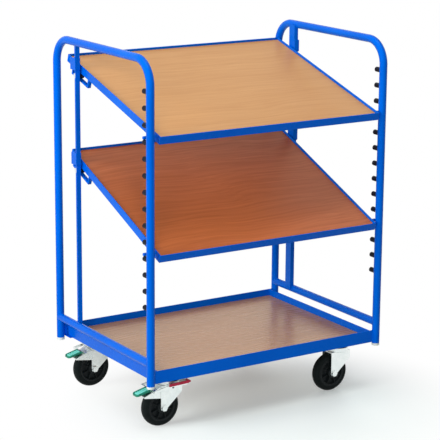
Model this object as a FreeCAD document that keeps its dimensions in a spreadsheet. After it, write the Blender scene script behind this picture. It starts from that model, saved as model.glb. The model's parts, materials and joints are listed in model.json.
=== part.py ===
"""Shelf trolley: two bent-tube side hoops, a base tray on four casters and two tilting shelves.

Millimetres, +Z up. The origin is on the floor under the middle of the four legs, +X runs along the
front from left to right and +Y runs to the rear. Each shelf hangs on a pivot bolt in each rear post
and its front lugs rest on a row of pegs behind the front legs.
"""
import FreeCAD, Part
import math
import os

import Sketcher

DRIVING_DIMENSIONS = {
    # Side hoops and lower crossbars, round tube
    "leg_spacing_x": 842,
    "leg_spacing_y": 580,
    "tube_diameter": 25,
    "tube_wall": 2,
    "hoop_axis_top": 1137,
    "hoop_bend_radius": 75,
    "leg_foot_drop": 3,
    "crossbar_rise": 65,
    "weld_gap": 0.3,
    # Plastic plugs in the open leg ends
    "plug_cap_height": 8,
    "plug_shank_height": 16,
    "plug_clearance": 0.2,
    # Angle posts that carry the rear of the shelves
    "post_width": 30,
    "post_lip": 15,
    "post_wall": 3,
    "post_setback": 118.5,
    "post_inset": 3,
    "saddle_height": 38,
    "saddle_rise": 20,
    # Pegs behind the front legs
    "peg_pitch": 50,
    "peg_top_drop": 92,
    "peg_bottom_rise": 165,
    "peg_diameter": 16,
    "peg_length": 22,
    # Base tray
    "base_rail_height": 40,
    "base_rail_flange": 40,
    "base_rail_wall": 3,
    "base_rail_inset": 22,
    "base_board_thickness": 15,
    "board_gap": 1,
    # Tilting shelves
    "shelf_inset": 23.5,
    "shelf_overhang": 12,
    "shelf_rail_height": 25,
    "shelf_rail_flange": 25,
    "shelf_rail_wall": 3,
    "shelf_board_thickness": 15,
    "top_shelf_tilt": 16.8,
    "top_shelf_pegs_above": 3,
    "middle_shelf_tilt": 22.6,
    "middle_shelf_pegs_below": 3,
    "lug_diameter": 10,
    "lug_setback": 44.6,
    "lug_rise": 3.7,
    "lug_overlap": 8.5,
    "lug_outer_reach": 7,
    "rest_gap": 0.3,
    # Rear hanger loops, pivot bolts and slide bushes
    "loop_bar": 7,
    "loop_width": 12,
    "loop_inset": 25,
    "loop_front_reach": 60,
    "loop_rear_reach": 50,
    "pivot_diameter": 10,
    "pivot_setback": 16.5,
    "pivot_head_diameter": 17,
    "pivot_head_height": 7,
    "pivot_nut_diameter": 16,
    "pivot_nut_height": 6,
    "bush_diameter": 20,
    "bush_start": 20,
    "bush_length": 18,
    "running_clearance": 0.06,
    # Casters
    "caster_inset_x": 102,
    "caster_inset_y": 70,
    "caster_trail": 30,
    "caster_plate_length": 105,
    "caster_plate_width": 85,
    "caster_plate_wall": 3.5,
    "caster_hole_spacing_x": 80,
    "caster_hole_spacing_y": 60,
    "caster_screw_diameter": 8,
    "caster_screw_head_diameter": 13,
    "caster_screw_head_height": 5.3,
    "screw_clearance": 0.2,
    "mount_plate_inset": 20,
    "mount_plate_length": 120,
    "mount_plate_width": 100,
    "mount_plate_wall": 6,
    "race_radius": 29,
    "race_height": 6,
    "cup_radius": 37,
    "cup_neck_radius": 30,
    "cup_neck_height": 4,
    "cup_height": 12.7,
    "kingpin_diameter": 12,
    "kingpin_nut_diameter": 19,
    "kingpin_nut_height": 7,
    "swivel_gap": 0.3,
    "wheel_diameter": 125,
    "wheel_width": 32,
    "wheel_crown_gap": 4.5,
    "tyre_inner_radius": 47,
    "tyre_shoulder": 14,
    "tyre_seat_gap": 0.1,
    "hub_boss_radius": 17,
    "hub_boss_length": 44,
    "hub_web": 10,
    "hub_rim_wall": 8,
    "fork_gap": 46,
    "fork_wall": 3,
    "fork_boss_radius": 10,
    "fork_front_reach": 34,
    "fork_throat_drop": 26,
    "axle_diameter": 12,
    "axle_head_diameter": 20,
    "axle_head_height": 7,
    # Brakes of the two left casters
    "guard_wall": 2,
    "guard_height": 37.2,
    "guard_foot_rise": 10,
    "guard_back_reach": 96,
    "guard_back_drop": 22.7,
    "guard_knee_reach": 62,
    "guard_knee_drop": 9.2,
    "guard_front_reach": 30,
    "guard_flat_reach": 44,
    "lever_pivot_rise": 3.5,
    "lever_pivot_diameter": 8,
    "lever_arm_height": 12,
    "lever_arm_wall": 3,
    "lever_side_gap": 2,
    "lever_back_reach": 72,
    "lever_front_reach": 44,
    "pedal_reach": 118,
    "pedal_heel_drop": 9.5,
    "pedal_heel_thickness": 8,
    "pedal_tip_drop": 27.5,
    "pedal_tip_thickness": 6.5,
    "pedal_width": 34,
    "toe_pad_reach": 54,
    "toe_pad_back_reach": 21,
    "toe_pad_wall": 3.5,
    "toe_pad_drop": 3,
    "toe_pad_rise": 6,
    "toe_pad_lift": 2,
}

SIDES = (("left", -1), ("right", 1))
ENDS = (("front", -1), ("rear", 1))
CASTERS = tuple((end + "_" + side, x_sign, y_sign) for end, y_sign in ENDS for side, x_sign in SIDES)
BRAKED_SIDE = -1
FAR = 400


class Size:
    """A length or an angle: its value now, and the sheet formula that keeps it up to date."""

    def __init__(self, value, formula):
        self.value = value
        self.formula = formula

    def _joined(self, other, value, mark):
        return Size(value, "(" + self.formula + " " + mark + " " + other.formula + ")")

    def __add__(self, other):
        other = size(other)
        return self._joined(other, self.value + other.value, "+")

    def __sub__(self, other):
        other = size(other)
        return self._joined(other, self.value - other.value, "-")

    def __mul__(self, other):
        other = size(other)
        return self._joined(other, self.value * other.value, "*")

    def __truediv__(self, other):
        other = size(other)
        return self._joined(other, self.value / other.value, "/")

    def __neg__(self):
        return Size(-self.value, "(-" + self.formula + ")")

    def __radd__(self, other):
        return size(other) + self

    def __rsub__(self, other):
        return size(other) - self

    def __rmul__(self, other):
        return size(other) * self


def size(value):
    """Give a plain number the form of a Size."""
    if isinstance(value, Size):
        return value
    return Size(float(value), "(" + repr(value) + ")")


def cosine(angle):
    return Size(math.cos(math.radians(angle.value)), "cos(" + angle.formula + ")")


def sine(angle):
    return Size(math.sin(math.radians(angle.value)), "sin(" + angle.formula + ")")


class Sheet:
    """The driving dimensions by name."""

    def __init__(self, doc, dimensions):
        table = doc.addObject("Spreadsheet::Sheet", "dims")
        for row, (name, value) in enumerate(dimensions.items(), start=1):
            table.set("A" + str(row), name)
            table.set("B" + str(row), str(value))
            table.setAlias("B" + str(row), name)
            setattr(self, name, Size(float(value), "dims." + name))


doc = FreeCAD.newDocument("shelf_trolley")
d = Sheet(doc, DRIVING_DIMENSIONS)
doc.recompute()

nodes = []


def bind(obj, prop, value):
    obj.setExpression(prop, size(value).formula)


def place(obj, x, y, z):
    for axis, value in zip("xyz", (x, y, z)):
        bind(obj, "Placement.Base." + axis, value)


def node(obj, label):
    """Mark a finished sub-part and give it the name of its file."""
    obj.Label = label
    nodes.append(obj)
    return obj


def box(low, extent):
    """A block from its low corner and its extent along X, Y and Z."""
    block = doc.addObject("Part::Box", "block")
    for prop, value in zip(("Length", "Width", "Height"), extent):
        bind(block, prop, value)
    place(block, *low)
    return block


def along(bar, length, start, axis):
    """Start a bar at a point and run it along +X, +Y or +Z."""
    turn = {"x": ((0, 1, 0), 90), "y": ((1, 0, 0), -90), "z": ((0, 0, 1), 0)}[axis]
    bar.Placement.Rotation = FreeCAD.Rotation(FreeCAD.Vector(*turn[0]), turn[1])
    bind(bar, "Height", length)
    place(bar, *start)
    return bar


def rod(radius, length, start, axis):
    """A round bar."""
    bar = doc.addObject("Part::Cylinder", "bar")
    bind(bar, "Radius", radius)
    return along(bar, length, start, axis)


def hexagon(corner_radius, length, start, axis):
    """A six-sided head or nut."""
    head = doc.addObject("Part::Prism", "hexagon")
    head.Polygon = 6
    bind(head, "Circumradius", corner_radius)
    return along(head, length, start, axis)


def fuse(*pieces):
    joined = doc.addObject("Part::MultiFuse", "joined")
    joined.Shapes = list(pieces)
    joined.Refine = True
    return joined


def group(pieces):
    """Separate solids that share one node."""
    together = doc.addObject("Part::Compound", "together")
    together.Links = list(pieces)
    return together


def cut(base, *tools):
    remains = doc.addObject("Part::Cut", "remains")
    remains.Base = base
    remains.Tool = tools[0] if len(tools) == 1 else group(tools)
    return remains


def new_body(name):
    return doc.addObject("PartDesign::Body", name)


def new_sketch(body, role):
    """A sketch on one of the body's own origin planes."""
    sketch = body.newObject("Sketcher::SketchObject", "outline")
    plane = [feature for feature in body.Origin.OriginFeatures if feature.Role == role][0]
    sketch.AttachmentSupport = [(plane, "")]
    sketch.MapMode = "FlatFace"
    return sketch


def hold(sketch, kind, *where, value=None):
    """Add a constraint, and bind it to a Size if it has one."""
    if value is None:
        sketch.addConstraint(Sketcher.Constraint(kind, *where))
        return
    index = sketch.addConstraint(Sketcher.Constraint(kind, *where, size(value).value))
    bind(sketch, "Constraints[" + str(index) + "]", value)


def polygon(body, role, points):
    """A closed outline of straight lines through points given as pairs of sizes."""
    sketch = new_sketch(body, role)
    flat = [FreeCAD.Vector(size(u).value, size(v).value, 0) for u, v in points]
    count = len(points)
    for i in range(count):
        sketch.addGeometry(Part.LineSegment(flat[i], flat[(i + 1) % count]))
    for i in range(count):
        hold(sketch, "Coincident", i, 2, (i + 1) % count, 1)
    for i, (u, v) in enumerate(points):
        hold(sketch, "DistanceX", -1, 1, i, 1, value=u)
        hold(sketch, "DistanceY", -1, 1, i, 1, value=v)
    return sketch


def circle(body, role, centre, radius):
    sketch = new_sketch(body, role)
    middle = FreeCAD.Vector(size(centre[0]).value, size(centre[1]).value, 0)
    sketch.addGeometry(Part.Circle(middle, FreeCAD.Vector(0, 0, 1), size(radius).value))
    hold(sketch, "DistanceX", -1, 1, 0, 3, value=centre[0])
    hold(sketch, "DistanceY", -1, 1, 0, 3, value=centre[1])
    hold(sketch, "Radius", 0, value=radius)
    return sketch


def extrude(body, sketch, length, kind="Pad"):
    """Pad or Pocket a sketch by a length, half to each side of its plane."""
    feature = body.newObject("PartDesign::" + kind, kind.lower())
    feature.Profile = sketch
    feature.SideType = "Symmetric"
    bind(feature, "Length", length)
    body.Tip = feature
    return feature


def revolve(body, sketch):
    """Turn an outline about its own vertical axis."""
    feature = body.newObject("PartDesign::Revolution", "turned")
    feature.Profile = sketch
    feature.ReferenceAxis = (sketch, ["V_Axis"])
    feature.Angle = 360
    body.Tip = feature
    return feature


# Places that several pieces share

half_x = d.leg_spacing_x / 2
half_y = d.leg_spacing_y / 2
tube_radius = d.tube_diameter / 2
weld_radius = tube_radius + d.weld_gap
post_front = half_y - d.post_setback
pivot_y = post_front + d.pivot_setback
pivot_radius = d.pivot_diameter / 2
slot_height = d.bush_diameter + d.rest_gap * 2
wheel_radius = d.wheel_diameter / 2
crown_bottom = d.wheel_diameter + d.wheel_crown_gap
crown_top = crown_bottom + d.fork_wall
cup_top = crown_top + d.cup_height
plate_bottom = cup_top + d.swivel_gap + d.race_height
caster_top = plate_bottom + d.caster_plate_wall
base_bottom = caster_top + d.mount_plate_wall
base_top = base_bottom + d.base_rail_wall
leg_foot = base_bottom - d.leg_foot_drop
crossbar_height = base_bottom + d.crossbar_rise
shelf_depth = d.leg_spacing_y + d.shelf_overhang
kingpin_radius = d.kingpin_diameter / 2
axle_radius = d.axle_diameter / 2
screw_radius = d.caster_screw_diameter / 2
lever_pivot_height = crown_top + d.lever_pivot_rise


def inset_span(sign, near, far):
    """Low X and length of a span given by its distances inwards from a leg axis."""
    low = -half_x + near if sign < 0 else half_x - far
    return low, far - near


def leg_cutter(x_sign, y_sign):
    """The room that a leg takes, with the weld gap round it."""
    return rod(weld_radius, d.hoop_axis_top, (half_x * x_sign, half_y * y_sign, 0), "z")


def angle_bar(web, flange):
    """A steel angle of two plates, each given as a low corner and an extent."""
    return fuse(box(*web), box(*flange))


def make_hoop(side, sign):
    """Front leg, top bar and rear leg bent from one tube."""
    body = new_body("hoop")
    rise = d.hoop_axis_top - leg_foot
    bend = d.hoop_bend_radius
    reach = d.leg_spacing_y
    path = new_sketch(body, "YZ_Plane")
    vector = FreeCAD.Vector
    up = vector(0, 0, 1)
    shoulder = (rise - bend).value
    far = (reach - bend).value
    quarter = math.pi / 2
    path.addGeometry(Part.LineSegment(vector(0, 0, 0), vector(0, shoulder, 0)))
    front_bend = Part.Circle(vector(bend.value, shoulder, 0), up, bend.value)
    path.addGeometry(Part.ArcOfCircle(front_bend, quarter, 2 * quarter))
    path.addGeometry(Part.LineSegment(vector(bend.value, rise.value, 0), vector(far, rise.value, 0)))
    rear_bend = Part.Circle(vector(far, shoulder, 0), up, bend.value)
    path.addGeometry(Part.ArcOfCircle(rear_bend, 0, quarter))
    path.addGeometry(Part.LineSegment(vector(reach.value, shoulder, 0), vector(reach.value, 0, 0)))
    hold(path, "Coincident", 0, 1, -1, 1)
    hold(path, "PointOnObject", 0, 2, -2)
    hold(path, "DistanceY", -1, 1, 0, 2, value=rise - bend)
    hold(path, "DistanceX", -1, 1, 2, 1, value=bend)
    hold(path, "DistanceY", -1, 1, 2, 1, value=rise)
    hold(path, "DistanceX", -1, 1, 2, 2, value=reach - bend)
    hold(path, "DistanceY", -1, 1, 2, 2, value=rise)
    hold(path, "DistanceX", -1, 1, 4, 1, value=reach)
    hold(path, "DistanceY", -1, 1, 4, 1, value=rise - bend)
    hold(path, "DistanceX", -1, 1, 4, 2, value=reach)
    hold(path, "PointOnObject", 4, 2, -1)
    for arc, (start, end) in ((1, ((2, 1), (0, 2))), (3, ((4, 1), (2, 2)))):
        hold(path, "Coincident", arc, 1, *start)
        hold(path, "Coincident", arc, 2, *end)
        hold(path, "Radius", arc, value=bend)
    section = new_sketch(body, "XY_Plane")
    for index, radius in enumerate((tube_radius, tube_radius - d.tube_wall)):
        section.addGeometry(Part.Circle(vector(0, 0, 0), up, radius.value))
        hold(section, "Coincident", index, 3, -1, 1)
        hold(section, "Radius", index, value=radius)
    pipe = body.newObject("PartDesign::AdditivePipe", "tube")
    pipe.Profile = section
    pipe.Spine = (path, ["Edge" + str(edge + 1) for edge in range(path.GeometryCount)])
    body.Tip = pipe
    place(body, half_x * sign, -half_y, leg_foot)
    node(body, side + "_hoop")


def make_crossbar(side, sign):
    """Level tube between the two legs of a hoop, coped to fit round them."""
    start = (half_x * sign, -half_y, crossbar_height)
    outer = rod(tube_radius, d.leg_spacing_y, start, "y")
    bore = rod(tube_radius - d.tube_wall, d.leg_spacing_y, start, "y")
    legs = [leg_cutter(sign, y_sign) for _, y_sign in ENDS]
    node(cut(cut(outer, bore), *legs), side + "_crossbar")


def make_post(side, sign):
    """Angle post from the crossbar to the top bar, bored for the pivot bolts."""
    rise = d.hoop_axis_top - crossbar_height
    lip_x, lip_length = inset_span(sign, d.post_inset, d.post_inset + d.post_lip)
    web_inner = d.post_inset + d.post_lip
    web_x, web_length = inset_span(sign, web_inner - d.post_wall, web_inner)
    post = angle_bar(
        ((lip_x, post_front, crossbar_height), (lip_length, d.post_wall, rise)),
        ((web_x, post_front, crossbar_height), (web_length, d.post_width, rise)),
    )
    bars = [
        rod(weld_radius, d.leg_spacing_y, (half_x * sign, -half_y, height), "y")
        for height in (crossbar_height, d.hoop_axis_top)
    ]
    bore_radius = pivot_radius + d.screw_clearance
    bores = [
        rod(bore_radius, web_length * 3, (web_x - web_length, pivot_y, shelf.pivot_z), "x")
        for shelf in shelves.values()
    ]
    node(cut(post, *bars, *bores), side + "_rear_post")


def make_saddles():
    """Folded plates round the front and outside of the posts, one above each pivot bolt."""
    saddles = []
    web_inner = d.post_inset + d.post_lip
    for _, sign in SIDES:
        for shelf in shelves.values():
            low = shelf.pivot_z + d.saddle_rise
            cheek_x, cheek_length = inset_span(sign, d.post_inset - d.post_wall, d.post_inset)
            front_x, front_length = inset_span(sign, d.post_inset - d.post_wall, web_inner)
            front_y = post_front - d.post_wall
            saddles.append(
                angle_bar(
                    ((cheek_x, front_y, low), (cheek_length, d.post_width + d.post_wall, d.saddle_height)),
                    ((front_x, front_y, low), (front_length, d.post_wall, d.saddle_height)),
                )
            )
    node(group(saddles), "pivot_saddles")


def peg_height(index):
    """Height of a peg, counted down from the topmost one."""
    return d.hoop_axis_top - d.peg_top_drop - d.peg_pitch * index


def peg_count():
    """How many pegs fit between the hoop's upper bend and the room above the crossbar."""
    room = d.hoop_axis_top - d.peg_top_drop - crossbar_height - d.peg_bottom_rise
    return int(room.value // d.peg_pitch.value) + 1


def make_pegs():
    """Row of pegs behind each front leg."""
    length = tube_radius + d.peg_length
    pegs = [
        rod(d.peg_diameter / 2, length, (half_x * sign, -half_y, peg_height(index)), "y")
        for _, sign in SIDES
        for index in range(peg_count())
    ]
    legs = [leg_cutter(sign, -1) for _, sign in SIDES]
    node(cut(group(pegs), *legs), "shelf_pegs")


def make_plugs():
    """Plastic plug in the open foot of each leg."""
    shank_radius = tube_radius - d.tube_wall - d.plug_clearance
    plugs = []
    for _, x_sign in SIDES:
        for _, y_sign in ENDS:
            x, y = half_x * x_sign, half_y * y_sign
            cap = rod(tube_radius, d.plug_cap_height, (x, y, leg_foot - d.plug_cap_height), "z")
            shank = rod(shank_radius, d.plug_shank_height, (x, y, leg_foot), "z")
            plugs.append(fuse(cap, shank))
    node(group(plugs), "leg_end_plugs")


def make_base_tray():
    """Angle rails round a board, between the legs."""
    wall, flange = d.base_rail_wall, d.base_rail_flange
    long_half = half_x - weld_radius
    for end, sign in ENDS:
        web_y = -half_y if sign < 0 else half_y - wall
        flange_y = -half_y if sign < 0 else half_y - flange
        rail = angle_bar(
            ((-long_half, web_y, base_bottom), (long_half * 2, wall, d.base_rail_height)),
            ((-long_half, flange_y, base_bottom), (long_half * 2, flange, wall)),
        )
        node(rail, "base_" + end + "_rail")
    for side, sign in SIDES:
        web_x, _ = inset_span(sign, d.base_rail_inset, d.base_rail_inset + wall)
        flange_x, _ = inset_span(sign, d.base_rail_inset, d.base_rail_inset + flange)
        web_half, flange_half = half_y - wall, half_y - flange
        rail = angle_bar(
            ((web_x, -web_half, base_top), (wall, web_half * 2, d.base_rail_height - wall)),
            ((flange_x, -flange_half, base_bottom), (flange, flange_half * 2, wall)),
        )
        node(rail, "base_" + side + "_rail")
    board_x = half_x - d.base_rail_inset - wall - d.board_gap
    board_y = half_y - wall - d.board_gap
    board = box((-board_x, -board_y, base_top), (board_x * 2, board_y * 2, d.base_board_thickness))
    node(board, "base_board")


class Shelf:
    """Where one tilting shelf hangs: its own frame starts at the middle of its front lower edge."""

    def __init__(self, name, tilt, peg):
        self.name = name
        self.tilt = tilt
        run, rise = cosine(self.tilt), sine(self.tilt)
        lug_radius = d.lug_diameter / 2
        lug_y = -half_y + tube_radius + d.peg_length - d.lug_overlap + lug_radius
        lug_z = peg_height(peg) + d.peg_diameter / 2 + d.rest_gap + lug_radius
        self.origin_y = lug_y - (d.lug_setback * run - d.lug_rise * rise)
        self.origin_z = lug_z - (d.lug_setback * rise + d.lug_rise * run)
        self.slot_middle = -(slot_height / 2)
        self.pivot_along = (pivot_y - self.origin_y + self.slot_middle * rise) / run
        self.pivot_z = self.origin_z + self.pivot_along * rise + self.slot_middle * run

    def tilted(self, obj, label):
        """Finish a piece that was made in the shelf's own frame."""
        obj.Placement.Rotation = FreeCAD.Rotation(FreeCAD.Vector(1, 0, 0), self.tilt.value)
        bind(obj, "Placement.Rotation.Angle", self.tilt)
        place(obj, 0, self.origin_y, self.origin_z)
        node(obj, self.name + "_" + label)


def make_shelf(shelf):
    """Angle frame with a board in it, hanger loops under its rear end and lugs at its front."""
    wall, flange, height = d.shelf_rail_wall, d.shelf_rail_flange, d.shelf_rail_height
    half = half_x - d.shelf_inset
    depth = shelf_depth
    for end, sign in ENDS:
        web_y = size(0) if sign < 0 else depth - wall
        flange_y = size(0) if sign < 0 else depth - flange
        rail = angle_bar(
            ((-half, web_y, 0), (half * 2, wall, height)),
            ((-half, flange_y, 0), (half * 2, flange, wall)),
        )
        shelf.tilted(rail, "shelf_" + end + "_rail")
    for side, sign in SIDES:
        web_x, _ = inset_span(sign, d.shelf_inset, d.shelf_inset + wall)
        flange_x, _ = inset_span(sign, d.shelf_inset, d.shelf_inset + flange)
        rail = angle_bar(
            ((web_x, wall, wall), (wall, depth - wall * 2, height - wall)),
            ((flange_x, flange, 0), (flange, depth - flange * 2, wall)),
        )
        shelf.tilted(rail, "shelf_" + side + "_rail")
    edge = wall + d.board_gap
    board = box(
        (-half + edge, edge, wall), (half * 2 - edge * 2, depth - edge * 2, d.shelf_board_thickness)
    )
    shelf.tilted(group([board]), "shelf_board")
    loops, lugs = [], []
    for _, sign in SIDES:
        loop_x, _ = inset_span(sign, d.loop_inset, d.loop_inset + d.loop_width)
        front = shelf.pivot_along - d.loop_front_reach
        length = d.loop_front_reach + d.loop_rear_reach
        foot = -(slot_height + d.loop_bar)
        loops.append(
            fuse(
                box((loop_x, front, foot), (d.loop_width, length, d.loop_bar)),
                box((loop_x, front, foot), (d.loop_width, d.loop_bar, -foot)),
                box((loop_x, front + length - d.loop_bar, foot), (d.loop_width, d.loop_bar, -foot)),
            )
        )
        lug_x, lug_length = inset_span(sign, -d.lug_outer_reach, d.shelf_inset)
        lugs.append(rod(d.lug_diameter / 2, lug_length, (lug_x, d.lug_setback, d.lug_rise), "x"))
    shelf.tilted(group(loops), "shelf_hanger_loops")
    shelf.tilted(group(lugs), "shelf_front_lugs")


def make_pivots():
    """Pivot bolts in the posts, and the bushes that turn on them inside the hanger loops."""
    web_outer = d.post_inset + d.post_lip - d.post_wall
    bush_end = d.bush_start + d.bush_length
    nut_start = bush_end + d.rest_gap
    stations = (
        (hexagon, d.pivot_head_diameter / 2, web_outer - d.pivot_head_height, web_outer),
        (rod, pivot_radius, web_outer, nut_start),
        (hexagon, d.pivot_nut_diameter / 2, nut_start, nut_start + d.pivot_nut_height),
    )
    bolts = []
    for shelf in shelves.values():
        bushes = []
        for _, sign in SIDES:
            steps = []
            for make, radius, near, far in stations:
                x, length = inset_span(sign, near, far)
                steps.append(make(radius, length, (x, pivot_y, shelf.pivot_z), "x"))
            bolts.append(fuse(*steps))
            x, length = inset_span(sign, d.bush_start, bush_end)
            start = (x, pivot_y, shelf.pivot_z)
            outer = rod(d.bush_diameter / 2, length, start, "x")
            bushes.append(cut(outer, rod(pivot_radius + d.running_clearance, length, start, "x")))
        node(group(bushes), shelf.name + "_pivot_bushes")
    node(group(bolts), "pivot_bolts")


def caster_place(x_sign, y_sign):
    """Swivel axis of a caster, on the floor."""
    return (half_x - d.caster_inset_x) * x_sign, (half_y - d.caster_inset_y) * y_sign


def screw_places(x_sign, y_sign):
    """The four screws of one caster plate."""
    x, y = caster_place(x_sign, y_sign)
    return [
        (x + d.caster_hole_spacing_x * x_step / 2, y + d.caster_hole_spacing_y * y_step / 2)
        for x_step in (-1, 1)
        for y_step in (-1, 1)
    ]


def make_caster_mounts():
    """Welded corner plates, caster top plates, their screws and the swivel kingpins."""
    hole_radius = screw_radius + d.screw_clearance
    corner_plates, top_plates, screws, kingpins = [], [], [], []
    for _, x_sign, y_sign in CASTERS:
        x, y = caster_place(x_sign, y_sign)
        holes = [
            rod(hole_radius, base_bottom, (screw_x, screw_y, 0), "z")
            for screw_x, screw_y in screw_places(x_sign, y_sign)
        ]
        edge_x, edge_y = d.base_rail_inset + d.mount_plate_inset, half_y - d.mount_plate_inset
        corner_x, _ = inset_span(x_sign, edge_x, edge_x + d.mount_plate_length)
        corner_y = -edge_y if y_sign < 0 else edge_y - d.mount_plate_width
        corner = box(
            (corner_x, corner_y, caster_top), (d.mount_plate_length, d.mount_plate_width, d.mount_plate_wall)
        )
        corner_plates.append(cut(corner, *holes))
        plate = fuse(
            box(
                (x - d.caster_plate_length / 2, y - d.caster_plate_width / 2, plate_bottom),
                (d.caster_plate_length, d.caster_plate_width, d.caster_plate_wall),
            ),
            rod(d.race_radius, d.race_height, (x, y, plate_bottom - d.race_height), "z"),
        )
        bore = rod(kingpin_radius + d.running_clearance, base_bottom, (x, y, 0), "z")
        top_plates.append(cut(plate, bore, *holes))
        for screw_x, screw_y in screw_places(x_sign, y_sign):
            head_radius, head_height = d.caster_screw_head_diameter / 2, d.caster_screw_head_height
            head = hexagon(head_radius, head_height, (screw_x, screw_y, plate_bottom - head_height), "z")
            shank_length = base_bottom - plate_bottom - d.rest_gap
            shank = rod(screw_radius, shank_length, (screw_x, screw_y, plate_bottom), "z")
            screws.append(fuse(head, shank))
        nut_bottom = crown_bottom - d.swivel_gap - d.kingpin_nut_height
        nut = hexagon(d.kingpin_nut_diameter / 2, d.kingpin_nut_height, (x, y, nut_bottom), "z")
        pin = rod(kingpin_radius, caster_top - nut_bottom, (x, y, nut_bottom), "z")
        kingpins.append(fuse(nut, pin))
    node(group(corner_plates), "caster_mount_plates")
    node(group(top_plates), "caster_top_plates")
    node(group(screws), "caster_screws")
    node(group(kingpins), "caster_kingpins")


def make_fork(name, x, y, braked):
    """Pressed fork with its swivel cup: the wheel trails behind the swivel axis, towards -X."""
    body = new_body("fork")
    width = d.fork_gap + d.fork_wall * 2
    back = -(d.caster_trail + d.fork_boss_radius)
    slant = d.fork_boss_radius * math.cos(math.pi / 4)
    outline = [
        (back, crown_top),
        (back, wheel_radius),
        (slant - d.caster_trail, wheel_radius - slant),
        (d.fork_front_reach, crown_top - d.fork_throat_drop),
        (d.fork_front_reach, crown_top),
    ]
    extrude(body, polygon(body, "XZ_Plane", outline), width)
    axle = (-d.caster_trail, wheel_radius)
    extrude(body, circle(body, "XZ_Plane", axle, d.fork_boss_radius), width)
    gap_half = d.fork_gap / 2
    room = [(-gap_half, 0), (gap_half, 0), (gap_half, crown_bottom), (-gap_half, crown_bottom)]
    extrude(body, polygon(body, "YZ_Plane", room), FAR, "Pocket")
    cup = [
        (kingpin_radius, crown_bottom),
        (d.cup_neck_radius, crown_bottom),
        (d.cup_radius, crown_bottom + d.cup_neck_height),
        (d.cup_radius, cup_top),
        (kingpin_radius, cup_top),
    ]
    revolve(body, polygon(body, "XZ_Plane", cup))
    if braked:
        stub_reach = d.cup_radius + d.lever_side_gap + d.lever_arm_wall
        stub = circle(body, "XZ_Plane", (0, lever_pivot_height), d.lever_pivot_diameter / 2)
        extrude(body, stub, stub_reach * 2)
    extrude(body, circle(body, "XY_Plane", (0, 0), kingpin_radius + d.running_clearance), FAR, "Pocket")
    extrude(body, circle(body, "XZ_Plane", axle, axle_radius + d.running_clearance), FAR, "Pocket")
    place(body, x, y, 0)
    node(body, name + "_fork")


def make_axle(name, x, y):
    """Axle bolt across the fork, with its head and nut."""
    width = d.fork_gap + d.fork_wall * 2
    centre_x = x - d.caster_trail
    head_radius, head_height = d.axle_head_diameter / 2, d.axle_head_height
    axle = fuse(
        hexagon(head_radius, head_height, (centre_x, y - width / 2 - head_height, wheel_radius), "y"),
        rod(axle_radius, width, (centre_x, y - width / 2, wheel_radius), "y"),
        hexagon(head_radius, head_height, (centre_x, y + width / 2, wheel_radius), "y"),
    )
    node(axle, name + "_axle")


def make_wheel(name, x, y):
    """Plastic hub and rubber tyre, turned about the axle."""
    bore = axle_radius + d.running_clearance
    boss, boss_half = d.hub_boss_radius, d.hub_boss_length / 2
    rim, rim_half = d.tyre_inner_radius, d.wheel_width / 2 - d.rest_gap * 3
    web_half = d.hub_web / 2
    inner = rim - d.hub_rim_wall
    upper = [(inner, rim_half), (inner, web_half), (boss, web_half), (boss, boss_half), (bore, boss_half)]
    lower = [(u, -v) for u, v in reversed(upper)]
    hub = new_body("hub")
    revolve(hub, polygon(hub, "XY_Plane", [(rim, -rim_half), (rim, rim_half)] + upper + lower))
    seat, half = d.tyre_inner_radius + d.tyre_seat_gap, d.wheel_width / 2
    tyre = new_body("tyre")
    section = [(seat, -half), (wheel_radius, -half), (wheel_radius, half), (seat, half)]
    ring = revolve(tyre, polygon(tyre, "XY_Plane", section))
    doc.recompute()
    touch = d.tyre_seat_gap.value
    rims = [
        "Edge" + str(index)
        for index, edge in enumerate(ring.Shape.Edges, start=1)
        if hasattr(edge.Curve, "Radius") and abs(edge.Curve.Radius - wheel_radius.value) < touch
    ]
    shoulder = tyre.newObject("PartDesign::Fillet", "shoulder")
    shoulder.Base = (ring, rims)
    bind(shoulder, "Radius", d.tyre_shoulder)
    tyre.Tip = shoulder
    for body, label in ((hub, "_hub"), (tyre, "_tyre")):
        place(body, x - d.caster_trail, y, wheel_radius)
        node(body, name + label)


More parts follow.
